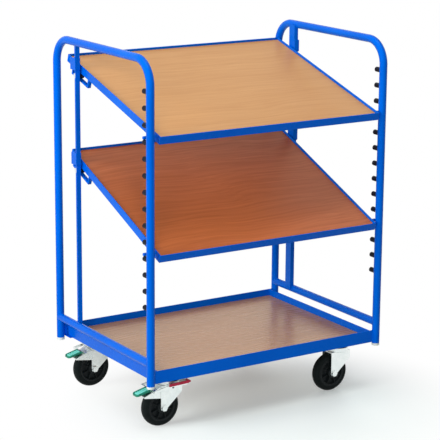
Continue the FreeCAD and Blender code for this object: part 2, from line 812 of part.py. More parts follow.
def make_brake(name, x, y):
    """Wheel guard on the fork, and a rocking lever with a pedal behind and a toe pad round its front."""
    guard = new_body("guard")
    guard_top = crown_bottom - d.rest_gap
    ridge = [
        (-d.guard_front_reach, guard_top),
        (-d.guard_flat_reach, guard_top),
        (-d.guard_knee_reach, guard_top - d.guard_knee_drop),
        (-d.guard_back_reach, guard_top - d.guard_back_drop),
    ]
    guard_foot = guard_top - d.guard_height
    feet = [(-d.guard_back_reach, guard_foot + d.guard_foot_rise), (-d.guard_front_reach, guard_foot)]
    guard_width = d.fork_gap - d.rest_gap * 2
    extrude(guard, polygon(guard, "XZ_Plane", ridge + feet), guard_width)
    lowered = [(u, v - d.guard_wall) for u, v in ridge]
    over = d.guard_wall
    lowered[0] = (lowered[0][0] + over, lowered[0][1])
    lowered[-1] = (lowered[-1][0] - over, lowered[-1][1] - over)
    below = guard_foot - over
    open_feet = [(-d.guard_back_reach - over, below), (over - d.guard_front_reach, below)]
    room = polygon(guard, "XZ_Plane", lowered + open_feet)
    extrude(guard, room, guard_width - d.guard_wall * 2, "Pocket")
    place(guard, x, y, 0)
    node(guard, name + "_brake_guard")

    lever = new_body("lever")
    arm_half = d.lever_arm_height / 2
    level = lever_pivot_height
    inner = d.cup_radius + d.lever_side_gap
    outer = inner + d.lever_arm_wall
    heel = -d.lever_back_reach
    heel_top = level - d.pedal_heel_drop
    heel_bottom = heel_top - d.pedal_heel_thickness
    side = [
        (d.lever_front_reach, level + arm_half),
        (arm_half, level + arm_half),
        (heel, heel_top),
        (heel, heel_bottom),
        (-arm_half, level - arm_half),
        (d.lever_front_reach, level - arm_half),
    ]
    extrude(lever, polygon(lever, "XZ_Plane", side), outer * 2)
    arm = d.lever_arm_wall
    room_back, room_front = arm - d.lever_back_reach, d.lever_front_reach - arm
    room = [(room_back, -inner), (room_front, -inner), (room_front, inner), (room_back, inner)]
    extrude(lever, polygon(lever, "XY_Plane", room), FAR, "Pocket")
    pivot_bore = d.lever_pivot_diameter / 2 + d.running_clearance
    extrude(lever, circle(lever, "XZ_Plane", (0, level), pivot_bore), FAR, "Pocket")
    place(lever, x, y, 0)
    node(lever, name + "_brake_lever")

    pedal = new_body("pedal")
    tip = -d.pedal_reach
    tip_height = level - d.pedal_tip_drop
    tread = [
        (heel, heel_top),
        (heel, heel_bottom),
        (tip, tip_height),
        (tip, tip_height + d.pedal_tip_thickness),
    ]
    extrude(pedal, polygon(pedal, "XZ_Plane", tread), d.pedal_width)
    place(pedal, x, y, 0)
    node(pedal, name + "_brake_pedal")

    pad = new_body("pad")
    toe, front, back = d.toe_pad_reach, d.lever_front_reach, -d.toe_pad_back_reach
    block = [
        (back, level - d.toe_pad_drop),
        (front, level - d.toe_pad_drop + d.toe_pad_lift),
        (toe, level + d.toe_pad_lift),
        (toe, level + d.toe_pad_rise),
        (front, level + d.toe_pad_rise + d.toe_pad_lift),
        (back, level + d.toe_pad_rise),
    ]
    seat = outer + d.rest_gap
    extrude(pad, polygon(pad, "XZ_Plane", block), (seat + d.toe_pad_wall) * 2)
    seat_back, seat_front = back - d.toe_pad_wall, front + d.rest_gap
    room = [(seat_back, -seat), (seat_front, -seat), (seat_front, seat), (seat_back, seat)]
    extrude(pad, polygon(pad, "XY_Plane", room), FAR, "Pocket")
    place(pad, x, y, 0)
    node(pad, name + "_brake_toe_pad")


shelves = {
    "top": Shelf("top", d.top_shelf_tilt, d.top_shelf_pegs_above),
    "middle": Shelf("middle", d.middle_shelf_tilt, peg_count() - 1 - d.middle_shelf_pegs_below),
}

for side_name, side_sign in SIDES:
    make_hoop(side_name, side_sign)
    make_crossbar(side_name, side_sign)
    make_post(side_name, side_sign)
make_saddles()
make_pegs()
make_plugs()
make_base_tray()
for hung_shelf in shelves.values():
    make_shelf(hung_shelf)
make_pivots()
make_caster_mounts()
for caster, caster_x_sign, caster_y_sign in CASTERS:
    axis_x, axis_y = caster_place(caster_x_sign, caster_y_sign)
    has_brake = caster_x_sign == BRAKED_SIDE
    make_fork(caster, axis_x, axis_y, has_brake)
    make_axle(caster, axis_x, axis_y)
    make_wheel(caster, axis_x, axis_y)
    if has_brake:
        make_brake(caster, axis_x, axis_y)

doc.recompute()

failed = [obj.Label for obj in doc.Objects if {"Invalid", "Error"} & set(obj.State)]
for obj in nodes:
    if obj.Shape.isNull() or not obj.Shape.isValid() or not obj.Shape.Solids:
        failed.append(obj.Label)
if failed:
    raise RuntimeError("these did not build: " + ", ".join(failed))

os.makedirs("parts", exist_ok=True)
for obj in nodes:
    obj.Shape.exportStep("parts/" + obj.Label + ".step")
print(len(nodes), "nodes written")
for hung_shelf in shelves.values():
    print(hung_shelf.name, "pivot", round(pivot_y.value, 3), round(hung_shelf.pivot_z.value, 3))
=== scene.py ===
"""Looks of the shelf trolley: finishes for the CAD pieces, and modelled detail that rides on its bodies.

Metres, in the same frame as the CAD: +Z up from the floor, +X along the front, +Y to the rear.
"""
import json
import math

import bmesh
import bpy
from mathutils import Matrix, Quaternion, Vector


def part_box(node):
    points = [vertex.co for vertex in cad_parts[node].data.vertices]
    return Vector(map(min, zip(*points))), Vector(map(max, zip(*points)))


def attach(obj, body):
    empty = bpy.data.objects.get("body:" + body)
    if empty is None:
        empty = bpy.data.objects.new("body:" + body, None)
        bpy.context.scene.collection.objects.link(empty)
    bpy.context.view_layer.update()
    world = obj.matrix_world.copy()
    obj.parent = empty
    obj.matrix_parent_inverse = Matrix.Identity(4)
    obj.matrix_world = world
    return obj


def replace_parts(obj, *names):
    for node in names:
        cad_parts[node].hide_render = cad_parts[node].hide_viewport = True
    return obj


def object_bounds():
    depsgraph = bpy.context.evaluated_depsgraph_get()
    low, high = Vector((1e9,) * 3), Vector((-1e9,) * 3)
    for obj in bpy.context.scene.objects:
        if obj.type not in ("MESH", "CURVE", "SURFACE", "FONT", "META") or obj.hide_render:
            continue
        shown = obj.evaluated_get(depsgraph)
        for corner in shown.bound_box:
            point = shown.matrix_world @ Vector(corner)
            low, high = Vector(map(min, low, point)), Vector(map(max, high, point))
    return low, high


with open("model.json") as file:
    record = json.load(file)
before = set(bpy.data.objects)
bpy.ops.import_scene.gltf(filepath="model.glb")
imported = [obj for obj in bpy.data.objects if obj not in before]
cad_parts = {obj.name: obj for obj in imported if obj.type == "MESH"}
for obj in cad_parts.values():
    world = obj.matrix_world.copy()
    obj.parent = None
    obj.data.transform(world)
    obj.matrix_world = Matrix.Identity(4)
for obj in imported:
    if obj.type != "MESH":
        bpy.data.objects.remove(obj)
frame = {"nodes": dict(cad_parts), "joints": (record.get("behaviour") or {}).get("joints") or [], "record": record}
cad_low, cad_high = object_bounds()

MM = 0.001
SIDES = (-1, 1)
CASTERS = ("front_left", "front_right", "rear_left", "rear_right")
BRAKED = ("front_left", "rear_left")
SHELVES = ("top", "middle")
WELD_DISTANCE = 0.01 * MM
LEVEL_GAP = 0.1 * MM

# Camera: a long lens at the photograph's viewing angle
FRAME_PIXELS = 440
FOCAL_PIXELS = 1768.2
SENSOR_WIDTH_MM = 36
CAMERA_PLACE = (-2.955, -4.630, 1.881)
CAMERA_YAW_DEG = 32.596
CAMERA_PITCH_DEG = 13.552
CAMERA_ROLL_DEG = 0.432

# Studio light: the white background, faint ambient light, and each lamp's name, place, size, level and
# whether it shows in gloss
WHITE = (1.0, 1.0, 1.0)
AMBIENT_STRENGTH = 0.08
AMBIENT_COLOUR = (0.8, 1.0, 0.94)
LAMPS = (
    ("overhead", (-0.3, -0.8, 4.3), 2.6, 0.54, True),
    ("left_box", (-4.4, 0.2, 2.2), 2.8, 0.80, False),
    ("front_fill", (-3.1, -4.2, 1.8), 2.4, 0.5, False),
    ("back_fill", (3.4, 3.9, 1.9), 2.4, 0.42, False),
)

# Floor: where it fades to white, and its colours as the camera sees it and as it throws light back
FLOOR_RADIUS = 9.0
FLOOR_SIDES = 96
FLOOR_CENTRE = (0.05, -0.25, 0.0)
FLOOR_FADE = (0.22, 0.72)
FLOOR_WHITE_SHARE = 0.24
FLOOR_COLOUR = (0.92, 1.0, 0.97)
FLOOR_BOUNCE_COLOUR = (0.26, 0.28, 0.27)

# Weld beads
BEAD_RADIUS = 1.9 * MM
BEAD_STEP = 0.7 * MM
BEAD_PITCH = 2.8 * MM
BEAD_RIPPLE = 0.12
BEAD_SIDES = 8
BEAD_TAPER = (0.45, 0.8)
FEWEST_BEAD_STEPS = 4
STITCH_RADIUS = 1.33 * MM
STITCH_LENGTH = 26 * MM
SHELF_BEAD_RADIUS = 1.425 * MM
SHELF_BEAD_SINK = 1.14 * MM
COPE_STEPS = 72
POST_STEPS = 12
LUG_STEPS = 40

# Rivets in the braked forks: radius and height of the head's stations, and their place
RIVET_HEAD = (
    (4.0 * MM, -0.4 * MM),
    (4.0 * MM, 0.5 * MM),
    (3.3 * MM, 1.4 * MM),
    (2.0 * MM, 2.0 * MM),
    (0.7 * MM, 2.2 * MM),
)
RIVET_DROP = 5.5 * MM
RIVET_AHEAD = 2.5 * MM

# Wheels: how far the hub's rim stands back from the tyre's side, and how finely both are turned
HUB_INSET = 0.9 * MM
TYRE_STEPS = 112
HUB_STEPS = 80

# Swivel seals, screw flanges and pivot washers: inner and outer radius, thickness or gaps
SEAL_RADII = (28 * MM, 33 * MM)
SEAL_GAP_BELOW = 0.3 * MM
SEAL_GAP_ABOVE = 0.2 * MM
FLANGE_RADII = (4.6 * MM, 8 * MM)
FLANGE_THICKNESS = 1.3 * MM
FLANGE_STEPS = 40
WASHER_RADII = (5.2 * MM, 10.5 * MM)
WASHER_THICKNESS = 1.5 * MM
WASHER_STEPS = 48
RING_EASE = 0.3 * MM

# Brake pedals, and the ribbed grip on each: the shares of a pedal's length that it spans, and its sizes
PEDAL_STATIONS = 36
GRIP_SPAN = (0.05, 0.9)
GRIP_TREADS = 6
GRIP_HEIGHT = 1.3 * MM
GRIP_WAVE = 0.9 * MM
GRIP_MARGIN = 6.2 * MM
GRIP_SEAT = 0.6 * MM


def joint(name):
    return next(row for row in frame["joints"] if row["name"] == name)


def levels(node, axis):
    """The distinct coordinates of a CAD node's corners along one axis, to a tenth of a millimetre."""
    values = sorted(vertex.co[axis] for vertex in frame["nodes"][node].data.vertices)
    kept = []
    for value in values:
        if not kept or value - kept[-1] > LEVEL_GAP:
            kept.append(value)
    return kept


def solids(node):
    """Low and high corner of each separate solid of a CAD node."""
    shape = bmesh.new()
    shape.from_mesh(frame["nodes"][node].data)
    bmesh.ops.remove_doubles(shape, verts=shape.verts, dist=WELD_DISTANCE)
    found, seen = [], set()
    for start in shape.verts:
        if start in seen:
            continue
        seen.add(start)
        island, reached = [], [start]
        while reached:
            vertex = reached.pop()
            island.append(vertex.co.copy())
            near = [edge.other_vert(vertex) for edge in vertex.link_edges]
            fresh = [other for other in near if other not in seen]
            seen.update(fresh)
            reached += fresh
        columns = list(zip(*island))
        found.append((Vector([min(c) for c in columns]), Vector([max(c) for c in columns])))
    shape.free()
    return found


# Places read from the frame

tube_low, tube_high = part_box("right_crossbar")
tube_radius = (tube_high.x - tube_low.x) / 2
leg_x = (tube_high.x + tube_low.x) / 2
crossbar_z = (tube_high.z + tube_low.z) / 2
_, hoop_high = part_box("right_hoop")
leg_y = hoop_high.y - tube_radius
top_bar_z = hoop_high.z - tube_radius


# Materials

def opaque(colour):
    return (*colour, 1.0)


def add_node(tree, kind, inputs=None, **settings):
    """A new shader node, with each input linked to a socket or set to a value."""
    made = tree.nodes.new("ShaderNode" + kind)
    for name, value in settings.items():
        setattr(made, name, value)
    for name, value in (inputs or {}).items():
        if isinstance(value, bpy.types.NodeSocket):
            tree.links.new(value, made.inputs[name])
        else:
            made.inputs[name].default_value = value
    return made


class Recipe:
    """A procedural material built node by node. Its patterns are placed in metres on the piece itself."""

    def __init__(self, name, **constants):
        self.material = bpy.data.materials.new(name)
        self.material.use_nodes = True
        self.tree = self.material.node_tree
        self.shader = self.tree.nodes["Principled BSDF"]
        for socket, value in constants.items():
            self.shader.inputs[socket.replace("_", " ")].default_value = value
        self.place = self.add("TexCoord").outputs["Object"]
        self.relief = None

    def add(self, kind, inputs=None, **settings):
        return add_node(self.tree, kind, inputs, **settings)

    def stretched(self, scale, place=None):
        """Pattern coordinates with their own scale along X, Y and Z."""
        return self.add("Mapping", {"Vector": place or self.place, "Scale": scale}).outputs["Vector"]

    def waved(self, scale, reach):
        """The place, moved by up to a reach along X, Y and Z in slow waves."""
        waves = self.add("TexNoise", {"Vector": self.place, "Scale": scale, "Detail": 1.0})
        terms = {0: waves.outputs["Color"], 1: reach, 2: self.place}
        return self.add("VectorMath", terms, operation="MULTIPLY_ADD").outputs["Vector"]

    def noise(self, scale, detail=3.0, roughness=0.5, distortion=0.0, place=None):
        inputs = {"Vector": place or self.place, "Scale": scale, "Detail": detail, "Roughness": roughness}
        inputs["Distortion"] = distortion
        return self.add("TexNoise", inputs).outputs["Fac"]

    def remap(self, factor, low, high, to_low=0.0, to_high=1.0):
        inputs = {"Value": factor, "From Min": low, "From Max": high, "To Min": to_low, "To Max": to_high}
        return self.add("MapRange", inputs).outputs["Result"]

    def ramp(self, factor, stops):
        """Colours blended along a factor, given as (position, colour) pairs."""
        blend = self.add("ValToRGB", {"Fac": factor})
        steps = blend.color_ramp.elements
        while len(steps) < len(stops):
            steps.new(1.0)
        for step, (position, colour) in zip(steps, stops):
            step.position = position
            step.color = opaque(colour)
        return blend.outputs["Color"]

    def mix(self, factor, first, second):
        """Blend a colour socket towards a second colour, given as three numbers."""
        return self.add("Mix", {0: factor, 6: first, 7: opaque(second)}, data_type="RGBA").outputs[2]

    def drive(self, socket, output):
        self.tree.links.new(output, self.shader.inputs[socket])

    def raise_by(self, height, distance, strength=1.0):
        """Add surface relief, on top of what is there already."""
        inputs = {"Height": height, "Distance": distance, "Strength": strength}
        if self.relief is not None:
            inputs["Normal"] = self.relief
        self.relief = self.add("Bump", inputs).outputs["Normal"]
        self.drive("Normal", self.relief)


def blue_powder_coat():
    """Satin blue powder coat: orange peel, slow changes of tone and a few rubbed spots."""
    recipe = Recipe("blue_powder_coat", Specular_IOR_Level=0.14, Specular_Tint=(0.12, 0.45, 1.0, 1.0))
    tone = recipe.noise(5.0, detail=2.0)
    colour = recipe.ramp(tone, ((0.3, (0.0, 0.110, 0.64)), (0.7, (0.0, 0.132, 0.72))))
    rubbed = recipe.remap(recipe.noise(38.0, detail=6.0, roughness=0.7), 0.66, 0.76, 0.0, 0.3)
    recipe.drive("Base Color", recipe.mix(rubbed, colour, (0.01, 0.23, 0.84)))
    recipe.drive("Roughness", recipe.remap(recipe.noise(60.0, detail=4.0), 0.3, 0.7, 0.2, 0.3))
    recipe.raise_by(recipe.noise(520.0, detail=1.5), 0.25 * MM, 0.35)
    recipe.raise_by(recipe.noise(90.0, detail=1.0), 0.4 * MM, 0.12)
    return recipe.material


def beech(name, light, dark, fleck, roughness):
    """Satin beech decor: gently wavy grain along X, slow bands and short dark flecks."""
    recipe = Recipe(name)
    grain_place = recipe.stretched((1.1, 42.0, 42.0), recipe.waved(3.5, (0.0, 0.06, 0.03)))
    grain = recipe.noise(2.6, detail=5.0, roughness=0.55, distortion=0.4, place=grain_place)
    colour = recipe.ramp(grain, ((0.3, dark), (0.7, light)))
    bands = recipe.noise(3.2, detail=2.0, place=recipe.stretched((0.5, 2.6, 2.6)))
    colour = recipe.mix(recipe.remap(bands, 0.4, 0.75, 0.0, 0.4), colour, dark)
    pores = recipe.noise(1.0, detail=2.0, roughness=0.6, place=recipe.stretched((130.0, 1900.0, 1900.0)))
    marks = recipe.remap(pores, 0.62, 0.72, 0.0, 0.3)
    recipe.drive("Base Color", recipe.mix(marks, colour, fleck))
    recipe.drive("Roughness", recipe.remap(grain, 0.3, 0.7, roughness + 0.04, roughness - 0.04))
    recipe.raise_by(pores, 0.08 * MM, 0.25)
    recipe.raise_by(grain, 0.15 * MM, 0.12)
    return recipe.material


def bright_zinc():
    """Zinc plate: bright metal with a cloudy tint and fine drawn lines."""
    recipe = Recipe("bright_zinc", Metallic=1.0)
    cloud = recipe.noise(45.0, detail=4.0, roughness=0.6)
    recipe.drive("Base Color", recipe.ramp(cloud, ((0.3, (0.78, 0.83, 0.82)), (0.7, (0.90, 0.93, 0.92)))))
    lines = recipe.noise(1.0, detail=3.0, place=recipe.stretched((60.0, 900.0, 900.0)))
    recipe.drive("Roughness", recipe.remap(lines, 0.3, 0.7, 0.24, 0.4))
    recipe.raise_by(lines, 0.05 * MM, 0.2)
    return recipe.material


def moulded(name, low, high, roughness, grain_scale, depth, specular=0.4):
    """Moulded plastic or rubber: a fine grain, with small changes of tone and gloss."""
    recipe = Recipe(name, Specular_IOR_Level=specular)
    cloud = recipe.noise(70.0, detail=4.0, roughness=0.6)
    recipe.drive("Base Color", recipe.ramp(cloud, ((0.3, low), (0.7, high))))
    shine = recipe.noise(160.0, detail=3.0)
    recipe.drive("Roughness", recipe.remap(shine, 0.3, 0.7, roughness - 0.08, roughness + 0.08))
    recipe.raise_by(recipe.noise(grain_scale, detail=2.0), depth, 0.4)
    return recipe.material


def make_finishes():
    """One material for each of the record's slots, and three more: a darker, redder beech that paints shade on the
    middle board, a paler, greyer beech that paints sheen on the base board, and a pale mint that paints the
    highlight on the pedal grips.
    """
    return {
        "blue_paint": blue_powder_coat(),
        "beech_board": beech(
            "beech_decor", roughness=0.36,
            light=(0.65, 0.315, 0.095), dark=(0.57, 0.255, 0.066), fleck=(0.38, 0.15, 0.04),
        ),
        # Darker, redder copy of the beech: painted shade for the middle board, which lies under the top shelf.
        "beech_painted_shade": beech(
            "beech_decor_painted_shade", roughness=0.46,
            light=(0.63, 0.172, 0.046), dark=(0.49, 0.118, 0.028), fleck=(0.33, 0.07, 0.016),
        ),
        # Paler, greyer copy of the beech for the base board: real satin gloss in its lower roughness, and painted
        # sheen in its colours.
        "satin_beech_painted_sheen": beech(
            "beech_decor_satin_painted_sheen", roughness=0.28,
            light=(0.60, 0.31, 0.13), dark=(0.54, 0.268, 0.106), fleck=(0.38, 0.165, 0.055),
        ),
        "zinc_steel": bright_zinc(),
        "black_rubber": moulded(
            "black_rubber", low=(0.004, 0.006, 0.006), high=(0.008, 0.011, 0.011),
            roughness=0.6, grain_scale=900.0, depth=0.2 * MM, specular=0.1,
        ),
        "grey_hub": moulded(
            "grey_hub", low=(0.005, 0.007, 0.008), high=(0.011, 0.014, 0.015),
            roughness=0.45, grain_scale=1200.0, depth=0.12 * MM, specular=0.15,
        ),
        "black_plastic": moulded(
            "black_plastic", low=(0.003, 0.004, 0.010), high=(0.007, 0.008, 0.018),
            roughness=0.45, grain_scale=1400.0, depth=0.1 * MM, specular=0.12,
        ),
        "pale_plastic": moulded(
            "pale_plastic", low=(0.70, 0.76, 0.73), high=(0.80, 0.84, 0.81),
            roughness=0.45, grain_scale=1400.0, depth=0.1 * MM,
        ),
        "green_plastic": moulded(
            "green_plastic", low=(0.006, 0.17, 0.10), high=(0.012, 0.23, 0.14),
            roughness=0.36, grain_scale=1100.0, depth=0.12 * MM,
        ),
        # Pale mint for the pedal's grip: painted highlight of the pedal's lit floor.
        "grip_painted_highlight": moulded(
            "grip_painted_highlight", low=(0.14, 0.62, 0.48), high=(0.19, 0.72, 0.57),
            roughness=0.4, grain_scale=1100.0, depth=0.12 * MM,
        ),
        "red_plastic": moulded(
            "red_plastic", low=(0.46, 0.008, 0.040), high=(0.57, 0.014, 0.058),
            roughness=0.36, grain_scale=1100.0, depth=0.12 * MM,
        ),
    }


finishes = make_finishes()


# CAD pieces

EDGE_ROUNDING = {
    "_rail": 0.9 * MM,
    "_board": 0.8 * MM,
    "_post": 0.8 * MM,
    "saddles": 0.8 * MM,
    "_pegs": 1.6 * MM,
    "_plugs": 1.8 * MM,
    "_loops": 1.2 * MM,
    "_lugs": 1.2 * MM,
    "_bushes": 0.8 * MM,
    "_plates": 0.7 * MM,
    "_screws": 0.7 * MM,
    "_kingpins": 0.7 * MM,
    "_bolts": 0.8 * MM,
    "_axle": 1.0 * MM,
    "_fork": 0.8 * MM,
    "_guard": 0.5 * MM,
    "_lever": 0.7 * MM,
    "_toe_pad": 0.9 * MM,
}
# Boards that get a copy of the beech tinted for light: painted shade on the middle board, painted sheen on the
# base board.
BOARD_PAINTED_LIGHT_FINISH = {"middle_shelf_board": "beech_painted_shade", "base_board": "satin_beech_painted_sheen"}
EDGE_ANGLE = math.radians(32)
FLAT_ANGLE = math.radians(0.4)
ROUNDING_SEGMENTS = 2


def round_edges(obj, width):
    """Join the split corners of a CAD mesh, merge its flat faces and round its edges."""
    obj.modifiers.new("weld", "WELD").merge_threshold = WELD_DISTANCE
    flat = obj.modifiers.new("flat", "DECIMATE")
    flat.decimate_type = "DISSOLVE"
    flat.angle_limit = FLAT_ANGLE
    bevel = obj.modifiers.new("bevel", "BEVEL")
    bevel.width = width
    bevel.segments = ROUNDING_SEGMENTS
    bevel.limit_method = "ANGLE"
    bevel.angle_limit = EDGE_ANGLE
    obj.modifiers.new("normals", "WEIGHTED_NORMAL").keep_sharp = True


def finish_cad_nodes():
    slots = {row["node"]: row["material_slot"] for row in frame["record"]["subparts"]}
    for name, obj in frame["nodes"].items():
        obj.data.materials.clear()
        obj.data.materials.append(finishes[BOARD_PAINTED_LIGHT_FINISH.get(name, slots[name])])
        for ending, width in EDGE_ROUNDING.items():
            if name.endswith(ending):
                round_edges(obj, width)


# Mesh building

def new_piece(name, body, slot, mesh_builder, sharp_deg=40, finish=None):
    """A modelled piece that rides on a CAD body, in its slot's finish unless another finish is given."""
    mesh = bpy.data.meshes.new(name)
    shape = bmesh.new()
    mesh_builder(shape)
    bmesh.ops.recalc_face_normals(shape, faces=shape.faces)
    shape.to_mesh(mesh)
    shape.free()
    mesh.shade_smooth()
    mesh.set_sharp_from_angle(angle=math.radians(sharp_deg))
    mesh.materials.append(finishes[finish or slot])
    piece = bpy.data.objects.new(name, mesh)
    bpy.context.scene.collection.objects.link(piece)
    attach(piece, body)
    return piece


def join_rings(shape, rings, closed):
    """Skin a row of rings that have the same number of points."""
    pairs = list(zip(rings, rings[1:]))
    if closed:
        pairs.append((rings[-1], rings[0]))
    for ring, following in pairs:
        count = len(ring)
        for i in range(count):
            k = (i + 1) % count
            shape.faces.new((ring[i], ring[k], following[k], following[i]))
    if not closed:
        shape.faces.new(rings[0])
        shape.faces.new(rings[-1])


def turns(steps):
    """Angles at even steps round a circle."""
    return [math.tau * step / steps for step in range(steps)]


def about_axis(centre, axis, radius, along, turn):
    """A point at a radius from, and a distance along, the X, Y or Z axis through a centre."""
    u, v = radius * math.cos(turn), radius * math.sin(turn)
    offset = {"x": (along, u, v), "y": (u, along, v), "z": (u, v, along)}[axis]
    return Vector(centre) + Vector(offset)


def lathe(shape, outline, centre, axis, steps=64):
    """A ring turned about an axis through a centre, from a closed outline of (radius, along) pairs."""
    rings = []
    for turn in turns(steps):
        points = [about_axis(centre, axis, radius, along, turn) for radius, along in outline]
        rings.append([shape.verts.new(point) for point in points])
    join_rings(shape, rings, closed=True)


def turned(shape, stations, centre, axis, steps=24):
    """A solid turned about an axis through a centre, from (radius, along) stations, with flat ends."""
    rings = []
    for radius, along in stations:
        points = [about_axis(centre, axis, radius, along, turn) for turn in turns(steps)]
        rings.append([shape.verts.new(point) for point in points])
    join_rings(shape, rings, closed=False)


def spaced(path, step, closed):
    """Points at an even spacing along a path of straight runs."""
    corners = [Vector(point) for point in path]
    if closed:
        corners.append(corners[0])
    total = sum((b - a).length for a, b in zip(corners, corners[1:]))
    count = max(FEWEST_BEAD_STEPS, round(total / step))
    gap = total / count
    slack = gap * 1e-6
    points, passed, wanted = [], 0.0, 0.0
    for a, b in zip(corners, corners[1:]):
        run = (b - a).length
        while wanted <= passed + run + slack and len(points) <= count:
            points.append(a.lerp(b, min(1.0, (wanted - passed) / run)))
            wanted += gap
        passed += run
    return points[:-1] if closed else points


def bead(shape, path, radius=BEAD_RADIUS, closed=False, ripple=BEAD_RIPPLE):
    """A weld bead: a rod along a path, rippled where the weld pool froze and tapered at its ends."""
    points = spaced(path, BEAD_STEP, closed)
    last = len(points) - 1
    side = None
    rings = []
    for i, point in enumerate(points):
        after = points[(i + 1) % len(points)] if closed or i < last else point
        before = points[i - 1] if closed or i else point
        forward = (after - before).normalized()
        side = forward.orthogonal() if side is None else side - forward * side.dot(forward)
        side.normalize()
        up = forward.cross(side)
        swell = 1 + ripple * math.sin(math.tau * i * BEAD_STEP / BEAD_PITCH)
        from_end = min(i, last - i)
        if not closed and from_end < len(BEAD_TAPER):
            swell *= BEAD_TAPER[from_end]
        ring = []
        for turn in turns(BEAD_SIDES):
            offset = side * math.cos(turn) + up * math.sin(turn)
            ring.append(shape.verts.new(point + offset * radius * swell))
        rings.append(ring)
    join_rings(shape, rings, closed)


# Welds of the frame

def add_cope_welds(shape):
    """Round the ends of the crossbars, where they fit round the legs."""
    reach = tube_radius - BEAD_RADIUS * (1 + BEAD_RIPPLE)
    for x_sign in SIDES:
        for y_sign in SIDES:
            path = []
            for turn in turns(COPE_STEPS):
                across = reach * math.cos(turn)
                inwards = math.sqrt(tube_radius ** 2 - across ** 2)
                height = crossbar_z + tube_radius * math.sin(turn)
                path.append((leg_x * x_sign + across, (leg_y - inwards) * y_sign, height))
            bead(shape, path, closed=True)


def add_tray_welds(shape):
    """Upright beads where the base rails meet the legs and each other, and stitches on the corner plates."""
    rail_low, rail_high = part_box("base_front_rail")
    side_low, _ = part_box("base_left_rail")
    board_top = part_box("base_board")[1].z
    wall = levels("base_front_rail", 1)[1] - rail_low.y
    low, high = rail_low.z + BEAD_RADIUS, rail_high.z - BEAD_RADIUS
    outer_y = -rail_low.y
    inner_y = outer_y - wall
    side_x = -side_low.x
    uprights = (
        (rail_high.x, outer_y, low),
        (rail_high.x, inner_y, low),
        (side_x, inner_y, low),
        (side_x - wall, inner_y, board_top),
    )
    for x_sign in SIDES:
        for y_sign in SIDES:
            for x, y, start in uprights:
                bead(shape, [(x * x_sign, y * y_sign, z) for z in (start, high)])
    margin = STITCH_LENGTH / 2
    for plate_low, plate_high in solids("caster_mount_plates"):
        edge_y = plate_high.y if plate_high.y > 0 else plate_low.y
        for start in (plate_low.x + margin, plate_high.x - margin - STITCH_LENGTH):
            ends = (start, start + STITCH_LENGTH)
            bead(shape, [(x, edge_y, plate_high.z) for x in ends], STITCH_RADIUS)


def add_post_welds(shape):
    """Where the posts meet the crossbars and top bars, and round the saddles."""
    post_low, post_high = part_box("right_rear_post")
    lip_back = levels("right_rear_post", 1)[1]
    saddle_levels = levels("pivot_saddles", 2)
    saddle_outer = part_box("pivot_saddles")[1].x
    contact_x = leg_x - tube_radius
    for x_sign in SIDES:
        for height, direction in ((crossbar_z, 1), (top_bar_z, -1)):
            for y in (post_low.y, lip_back):
                path = []
                for step in range(POST_STEPS + 1):
                    x = contact_x + (post_high.x - contact_x) * step / POST_STEPS
                    drop = math.sqrt(tube_radius ** 2 - (leg_x - x) ** 2)
                    path.append((x * x_sign, y, height + drop * direction))
                bead(shape, path)
        for z in saddle_levels:
            ends = (post_low.x + STITCH_RADIUS, saddle_outer - STITCH_RADIUS)
            bead(shape, [(x * x_sign, post_low.y, z) for x in ends], STITCH_RADIUS)


def add_frame_welds(shape):
    add_cope_welds(shape)
    add_tray_welds(shape)
    add_post_welds(shape)


# Welds of the shelves

class ShelfAxes:
    """A shelf's own axes: across it, rearwards along its slope, and out of its face."""

    def __init__(self, name):
        self.name = name
        self.along = Vector(joint(name + "_shelf_shift")["axis"]).normalized()
        self.out = Vector((1, 0, 0)).cross(self.along)

    def point(self, x, along, out):
        return Vector((x, 0, 0)) + self.along * along + self.out * out

    def box(self, node):
        """Lowest and highest corner of one of the shelf's CAD nodes, in the shelf's own axes."""
        corners = [vertex.co for vertex in frame["nodes"][self.name + "_shelf_" + node].data.vertices]
        rows = [(c.x, c.dot(self.along), c.dot(self.out)) for c in corners]
        return [min(column) for column in zip(*rows)], [max(column) for column in zip(*rows)]


def add_shelf_welds(shape, axes):
    """Corner beads inside and outside the shelf's rim, rings round its lugs and beads on its hanger loops."""
    front_low, front_high = axes.box("front_rail")
    side_low, side_high = axes.box("left_rail")
    _, board_high = axes.box("board")
    lug_low, lug_high = axes.box("front_lugs")
    loop_low, loop_high = axes.box("hanger_loops")
    loop_inner, loop_outer = levels(axes.name + "_shelf_hanger_loops", 0)[-2:]
    wall = side_low[1] - front_low[1]
    small = SHELF_BEAD_RADIUS
    half = front_high[0]
    rim_top = front_high[2] - small
    uprights = ((half - wall, board_high[2]), (half - SHELF_BEAD_SINK, front_low[2] + small))
    lug_radius = (lug_high[2] - lug_low[2]) / 2
    lug_along = (lug_low[1] + lug_high[1]) / 2
    lug_out = (lug_low[2] + lug_high[2]) / 2
    for x_sign in SIDES:
        for corner in (side_low[1], side_high[1]):
            for x, start in uprights:
                bead(shape, [axes.point(x * x_sign, corner, out) for out in (start, rim_top)], small)
        ring = []
        for turn in turns(LUG_STEPS):
            place = (lug_along + lug_radius * math.cos(turn), lug_out + lug_radius * math.sin(turn))
            ring.append(axes.point(half * x_sign, *place))
        bead(shape, ring, small, closed=True)
        for along in (loop_low[1], loop_high[1]):
            ends = (loop_outer - small, loop_inner + small)
            bead(shape, [axes.point(x * x_sign, along, loop_high[2]) for x in ends], small)


# Casters

def caster_axis(caster):
    """Place of a caster's swivel axis, and the middle of its wheel."""
    swivel = Vector(joint(caster + "_swivel_turn")["pos_m"])
    wheel = Vector(joint(caster + "_wheel_roll")["pos_m"])
    return swivel, wheel


